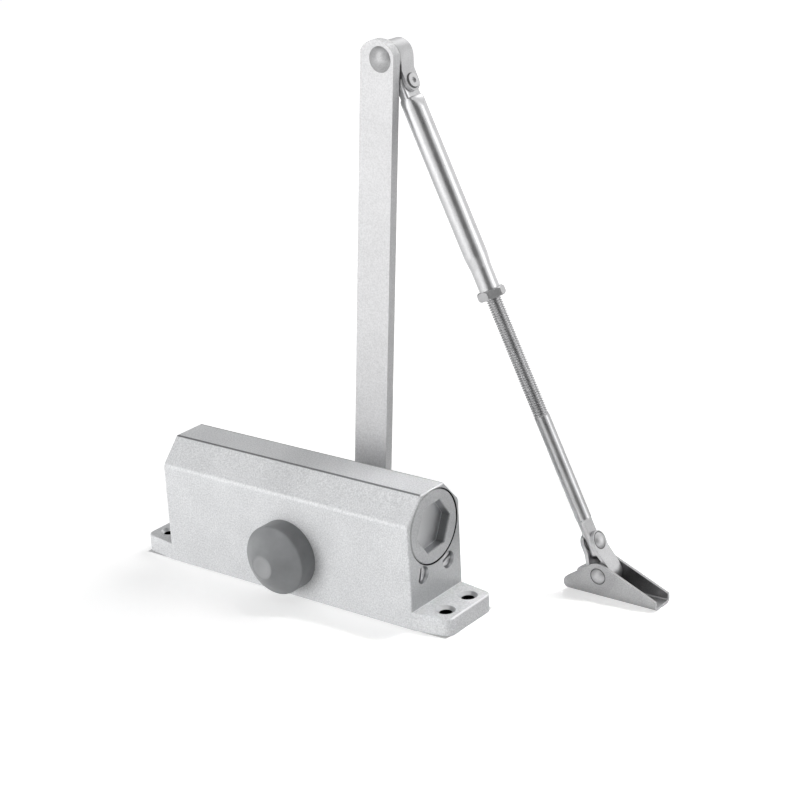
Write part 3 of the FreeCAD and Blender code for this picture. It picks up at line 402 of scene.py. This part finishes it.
# Valve screws, glands and the arm's fastenings.
# Turned steel with a bright zinc plate: two needle screws below the end plug, two screwed
# glands round the pinion, and the screw and washer that hold the arm.
bright_zinc = plated_steel("bright zinc plate", "#bdbdbe", "#d6d6d7", lay_mm=0.5, rough_low=0.26,
                           rough_high=0.36)
satin_zinc = plated_steel("satin zinc plate", "#939394", "#b7b7b8", lay_mm=0.6, rough_low=0.32,
                          rough_high=0.44)
dress(["closing_speed_valve", "latching_speed_valve"], bright_zinc)
dress(["pinion_glands", "arm_washer", "arm_screw"], satin_zinc)


# Elbow.
# A stepped rivet turns in the arm's end; a strip of steel is folded round its shoulder and
# a hollow rivet holds the strip's legs to the forearm.
joints = {joint["name"]: joint for joint in frame["joints"]}
rivet_axis = joints["link_tilt"]["axis"]
elbow_point = joints["forearm_tilt"]["pos_m"]
elbow_head_radius, seat_gap = 0.0035, 0.0002
# Dark ring round the elbow rivet's head: painted contact shadow and dirt.
strap_zinc = plated_steel("folded strip zinc plate", "#aaaaab", "#c6c6c7", lay_mm=0.6, rough_low=0.34,
                          rough_high=0.44,
                          shade_and_dirt_rings=[(elbow_point, rivet_axis, elbow_head_radius + seat_gap)])
dress(["elbow_pin", "elbow_washer"], satin_zinc)
dress(["elbow_strap"], strap_zinc)
dress(["elbow_rivet"], bright_zinc)


# Forearm tube and lock nut.
# Drawn steel tube, pressed flat at the top and swaged to a neck at the foot, in bright zinc;
# a thin hexagon nut in duller zinc locks the rod.
dull_zinc = plated_steel("dull zinc plate", "#aeaeaf", "#c6c6c7", lay_mm=0.6, rough_low=0.34, rough_high=0.42)
dress(["forearm_tube"], bright_zinc)
dress(["lock_nut"], dull_zinc)


# Forearm rod.
# Steel rod with a rolled M8 thread on its upper length and a milled tongue at its foot,
# drilled for the link's rivet.
drawn_zinc = plated_steel("drawn bar zinc plate", "#a5a5a6", "#c2c2c3", lay_mm=0.5, rough_low=0.26,
                          rough_high=0.36)
rod_radius = 0.00395
thread_pitch = 0.00125
thread_depth = 0.00072
thread_end = 0.1792
tongue_half = 0.0021
tongue_above = 0.0126
tongue_below = 0.0092
tongue_hole = 0.00255


def threaded_shank(top, foot):
    """Surface of revolution whose radius dips by the thread's depth with the phase of a helix, as a
    cosine cut flat at crest and root; the thread runs out at its lower end, and poles close both ends."""
    edge = 0.0006
    steps_per_pitch, sides, flank = 14, 36, 0.8
    thread = np.arange(top + edge, thread_end + thread_pitch, thread_pitch / steps_per_pitch)
    along = np.concatenate([[top, top], thread, [foot, foot]])[:, None]
    radius = np.full_like(along, rod_radius)
    radius[[0, -1]] = 0
    radius[1] = rod_radius - thread_depth
    around = np.linspace(0, 2 * math.pi, sides, endpoint=False)[None, :]
    phase = along / thread_pitch - around / (2 * math.pi)
    dip = np.clip(0.5 + flank * np.cos(2 * math.pi * phase), 0, 1)
    cut = np.clip((thread_end - along) / thread_pitch, 0, 1) * (radius == rod_radius)
    radius = radius - thread_depth * dip * cut
    return np.stack([radius * np.cos(around), radius * np.sin(around), along + 0 * around], axis=-1)


def drilled_tongue(hinge):
    """Flat tongue as a ring round its rivet hole: a ray from the hole's middle leaves the outline at the
    side, the shoulder or the round end, whichever is nearest; the sides keep the rod's own round."""
    ray_count, level_count, tiny = 96, 9, 1e-9
    face_width = math.sqrt(rod_radius ** 2 - tongue_half ** 2)
    corners = [math.atan2(side * width, -tongue_above)
               for side in (1, -1) for width in (face_width, rod_radius)]
    turn = np.sort(np.concatenate([np.linspace(-math.pi, math.pi, ray_count, endpoint=False), corners]))
    along, across = np.cos(turn), np.sin(turn)
    end_middle = tongue_below - rod_radius
    reach = end_middle * along + np.sqrt(rod_radius ** 2 - (end_middle * across) ** 2)
    reach = np.where(reach * along > end_middle, reach, np.inf)
    shoulder = np.where(along < 0, tongue_above / np.maximum(-along, tiny), np.inf)

    def outline(width):
        return np.minimum(np.minimum(reach, shoulder), width / np.maximum(np.abs(across), tiny))
    hole = np.full_like(turn, tongue_hole)
    levels = tongue_half * np.linspace(1, -1, level_count)
    edges = [outline(math.sqrt(rod_radius ** 2 - level ** 2)) for level in levels]
    rays = np.stack([hole, *edges, hole])
    height = np.array([tongue_half, *levels, -tongue_half])[:, None]
    return np.stack([height + 0 * rays, rays * across, hinge + rays * along], axis=-1)


rod_down = np.array(joints["rod_extend"]["axis"])
rod_side = np.array(rivet_axis)
rod_axes = np.array([rod_side, np.cross(rod_side, rod_down), rod_down])
link_point = joints["link_tilt"]["pos_m"]
rod_hinge = math.dist(link_point, elbow_point)
rod_top = 0.080
rod_parts = [closed_grid(threaded_shank(rod_top, rod_hinge - tongue_above) @ rod_axes + elbow_point, False),
             closed_grid(drilled_tongue(rod_hinge) @ rod_axes + elbow_point, True)]
rod = new_piece("forearm_threaded_rod", rod_parts, drawn_zinc)
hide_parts("forearm_rod")
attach(rod, "rod")


# Shoe and its link.
# Strip steel folded round the shoe's pin, and a pressed channel that screws to the door
# frame, both in satin zinc; plain rivets with round heads join them.
link_head_radius, shoe_head_radius = 0.0041, 0.0039
shoe_point, shoe_axis = joints["shoe_swing"]["pos_m"], (0, 1, 0)
# Dark rings round the shoe and link rivet heads: painted contact shadow and dirt.
shoe_zinc = plated_steel("pressed steel zinc plate", "#929293", "#b6b6b7", lay_mm=0.6, rough_low=0.32,
                         rough_high=0.44, shade_and_dirt_rings=[(shoe_point, shoe_axis, shoe_head_radius + seat_gap)])
strip_zinc = plated_steel("strip steel zinc plate", "#b6b6b7", "#d3d3d4", lay_mm=0.6, rough_low=0.36,
                          rough_high=0.46, shade_and_dirt_rings=[(link_point, rivet_axis, link_head_radius + seat_gap)])
rivet_zinc = plated_steel("headed rivet zinc plate", "#b4b4b5", "#cacacb", lay_mm=0.6, rough_low=0.44,
                          rough_high=0.54)
dress(["shoe"], shoe_zinc)
dress(["shoe_link"], strip_zinc)
dress(["link_rivet", "shoe_rivet"], rivet_zinc)


# Floor, light and camera.
# A pale seamless floor in a white room, a large front soft box, a back light for the top,
# and grey cards, upright and on the floor, that give the metal its bands; the camera stands
# where the photo was taken.

def seen_ray(tree):
    """1 for camera, glossy and transmission rays, which see the white room, and 0 for all others."""
    path = add(tree, "ShaderNodeLightPath")
    first = add(tree, "ShaderNodeMath", {0: path.outputs["Is Camera Ray"], 1: path.outputs["Is Glossy Ray"]},
                operation="MAXIMUM")
    return add(tree, "ShaderNodeMath", {0: first.outputs[0], 1: path.outputs["Is Transmission Ray"]},
               operation="MAXIMUM").outputs[0]


floor_half = 3.0
floor_drop = 0.0003
floor_glow_near = 0.45
floor_glow_far = 0.76
footprint_x = 0.1005
footprint_y = 0.0205
glow_start, glow_end = 0.25, 1.3
floor_mesh = bpy.data.meshes.new("floor")
floor_mesh.from_pydata([(-floor_half, -floor_half, -floor_drop), (floor_half, -floor_half, -floor_drop),
                        (floor_half, floor_half, -floor_drop), (-floor_half, floor_half, -floor_drop)],
                       [], [(0, 1, 2, 3)])
floor = bpy.data.objects.new("floor", floor_mesh)
bpy.context.collection.objects.link(floor)
floor_paper, paper_tree, floor_place = new_material("white paper")
paper = add(paper_tree, "ShaderNodeBsdfDiffuse", {"Color": linear("#e0e0e0")})
# The paper glows to seen rays outside the body's footprint, and more with distance; under the footprint it
# has no glow, a painted shadow that shows through the screw holes.
floor_axes = add(paper_tree, "ShaderNodeSeparateXYZ", {"Vector": floor_place})
beyond = []
for axis, half in (("X", footprint_x), ("Y", footprint_y)):
    reach = add(paper_tree, "ShaderNodeMath", {0: floor_axes.outputs[axis]}, operation="ABSOLUTE")
    past = add(paper_tree, "ShaderNodeMath", {0: reach.outputs[0], 1: half}, operation="SUBTRACT")
    beyond.append(past.outputs[0])
outside = add(paper_tree, "ShaderNodeMath", {0: beyond[0], 1: beyond[1]}, operation="MAXIMUM")
open_floor = add(paper_tree, "ShaderNodeMath", {0: outside.outputs[0], 1: 0.0}, operation="GREATER_THAN")
radius = add(paper_tree, "ShaderNodeVectorMath", {0: floor_place}, operation="LENGTH")
glow_level = add(paper_tree, "ShaderNodeMapRange", {
    "Value": radius.outputs["Value"], "From Min": glow_start, "From Max": glow_end,
    "To Min": floor_glow_near, "To Max": floor_glow_far})
seen_glow = add(paper_tree, "ShaderNodeMath", {0: seen_ray(paper_tree), 1: glow_level.outputs["Result"]},
                operation="MULTIPLY")
glow_strength = add(paper_tree, "ShaderNodeMath", {0: seen_glow.outputs[0], 1: open_floor.outputs[0]},
                    operation="MULTIPLY")
glow = add(paper_tree, "ShaderNodeEmission", {"Strength": glow_strength.outputs[0]})
both = add(paper_tree, "ShaderNodeAddShader", {0: paper.outputs[0], 1: glow.outputs[0]})
add(paper_tree, "ShaderNodeOutputMaterial", {"Surface": both.outputs[0]})
floor_mesh.materials.append(floor_paper)

room = bpy.data.worlds.new("white room")
bpy.context.scene.world = room
room.use_nodes = True
room_tree = room.node_tree
room_tree.nodes.clear()
room_light_level, room_seen_level = 0.25, 1.0
room_level = add(room_tree, "ShaderNodeMapRange", {"Value": seen_ray(room_tree), "To Min": room_light_level,
                                                   "To Max": room_seen_level})
room_light = add(room_tree, "ShaderNodeBackground", {"Color": (1, 1, 1, 1),
                                                     "Strength": room_level.outputs["Result"]})
add(room_tree, "ShaderNodeOutputWorld", {"Surface": room_light.outputs[0]})


def soft_box(name, place, target, width, height, power):
    """Rectangular area lamp that faces a point."""
    lamp = bpy.data.lights.new(name, "AREA")
    lamp.shape = "RECTANGLE"
    lamp.size, lamp.size_y, lamp.energy = width, height, power
    stand = bpy.data.objects.new(name, lamp)
    stand.location = place
    stand.rotation_euler = (Vector(target) - Vector(place)).to_track_quat("-Z", "Y").to_euler()
    bpy.context.collection.objects.link(stand)
    return stand


front_box = soft_box("front box", place=(-0.45, -1.5, 0.40), target=(0.03, 0.0, 0.15), width=1.7, height=0.8,
                     power=23)
front_box.visible_glossy = False
soft_box("front strip", place=(-0.6, -1.12, 0.5), target=(0.05, 0.0, 0.15), width=0.45, height=1.0, power=2.4)
side_strip = soft_box("side strip", place=(1.2, 0.49, 0.45), target=(0.05, 0.0, 0.15), width=0.5, height=0.9,
                      power=2.4)
side_strip.visible_diffuse = False
back_box = soft_box("back box", place=(0.35, 1.0, 1.1), target=(0.03, 0.0, 0.05), width=0.9, height=0.9,
                    power=13)
back_box.visible_glossy = False
soft_box("rear strip", place=(-0.13, 0.91, 0.77), target=(0.08, 0.0, 0.03), width=0.5, height=0.5, power=0.9)
top_spot = soft_box("top spot", place=(0.2, 0.35, 1.0), target=(0.12, 0.0, 0.02), width=0.2, height=0.2,
                    power=0.07)
top_spot.data.spread = math.radians(12)
top_spot.visible_glossy = False


def flag(name, first, last, foot, head, level):
    """Grey card between two arcs round the object, seen only in reflections: angles run from the front
    to +X, and each arc has its distance and its height."""
    points_along = 24
    turn = np.radians(np.linspace(first, last, points_along))
    arcs = [np.column_stack([distance * np.sin(turn), -distance * np.cos(turn), np.full(len(turn), height)])
            for distance, height in (foot, head)]
    index = np.arange(len(turn) - 1)
    faces = np.stack([index, index + 1, index + 1 + len(turn), index + len(turn)], axis=-1)
    mesh = bpy.data.meshes.new(name)
    mesh.from_pydata(np.concatenate(arcs).tolist(), [], faces.tolist())
    card = bpy.data.objects.new(name, mesh)
    bpy.context.collection.objects.link(card)
    cloth = bpy.data.materials.new(name)
    cloth.use_nodes = True
    cloth.node_tree.nodes.clear()
    shade = add(cloth.node_tree, "ShaderNodeEmission", {"Strength": level})
    add(cloth.node_tree, "ShaderNodeOutputMaterial", {"Surface": shade.outputs[0]})
    mesh.materials.append(cloth)
    card.visible_camera = False
    card.visible_diffuse = False
    card.visible_shadow = False
    card.visible_transmission = False


card_lift = 0.0006
flag("camera side flag", first=25, last=75, foot=(1.2, 0.0), head=(1.2, 1.8), level=0.16)
flag("back flag", first=222, last=268, foot=(1.2, 0.0), head=(1.2, 1.2), level=0.2)
flag("near flag", first=205, last=235, foot=(0.5, 0.0), head=(0.5, 0.26), level=0.2)
flag("near floor card", first=122, last=178, foot=(0.11, card_lift), head=(0.22, card_lift), level=0.25)
flag("far floor card", first=122, last=178, foot=(0.22, card_lift), head=(0.8, card_lift), level=0.6)
flag("high flag", first=-95, last=-15, foot=(1.2, 0.94), head=(1.2, 2.2), level=0.35)

camera_data = bpy.data.cameras.new("camera")
camera_data.sensor_width = 36.0
camera_data.lens = 92.17
camera = bpy.data.objects.new("camera", camera_data)
camera_right = Vector((0.79743645, 0.60135445, -0.04967841))
camera_up = Vector((-0.17242503, 0.30599482, 0.93628883))
camera_back = Vector((0.57824279, -0.73806504, 0.34769998))
camera_place = Vector((0.642006, -0.737897, 0.459041))
camera.matrix_world = Matrix.Translation(camera_place) @ Matrix(
    (camera_right, camera_up, camera_back)).transposed().to_4x4()
bpy.context.collection.objects.link(camera)
bpy.context.scene.camera = camera
bpy.context.scene.view_settings.view_transform = "Standard"
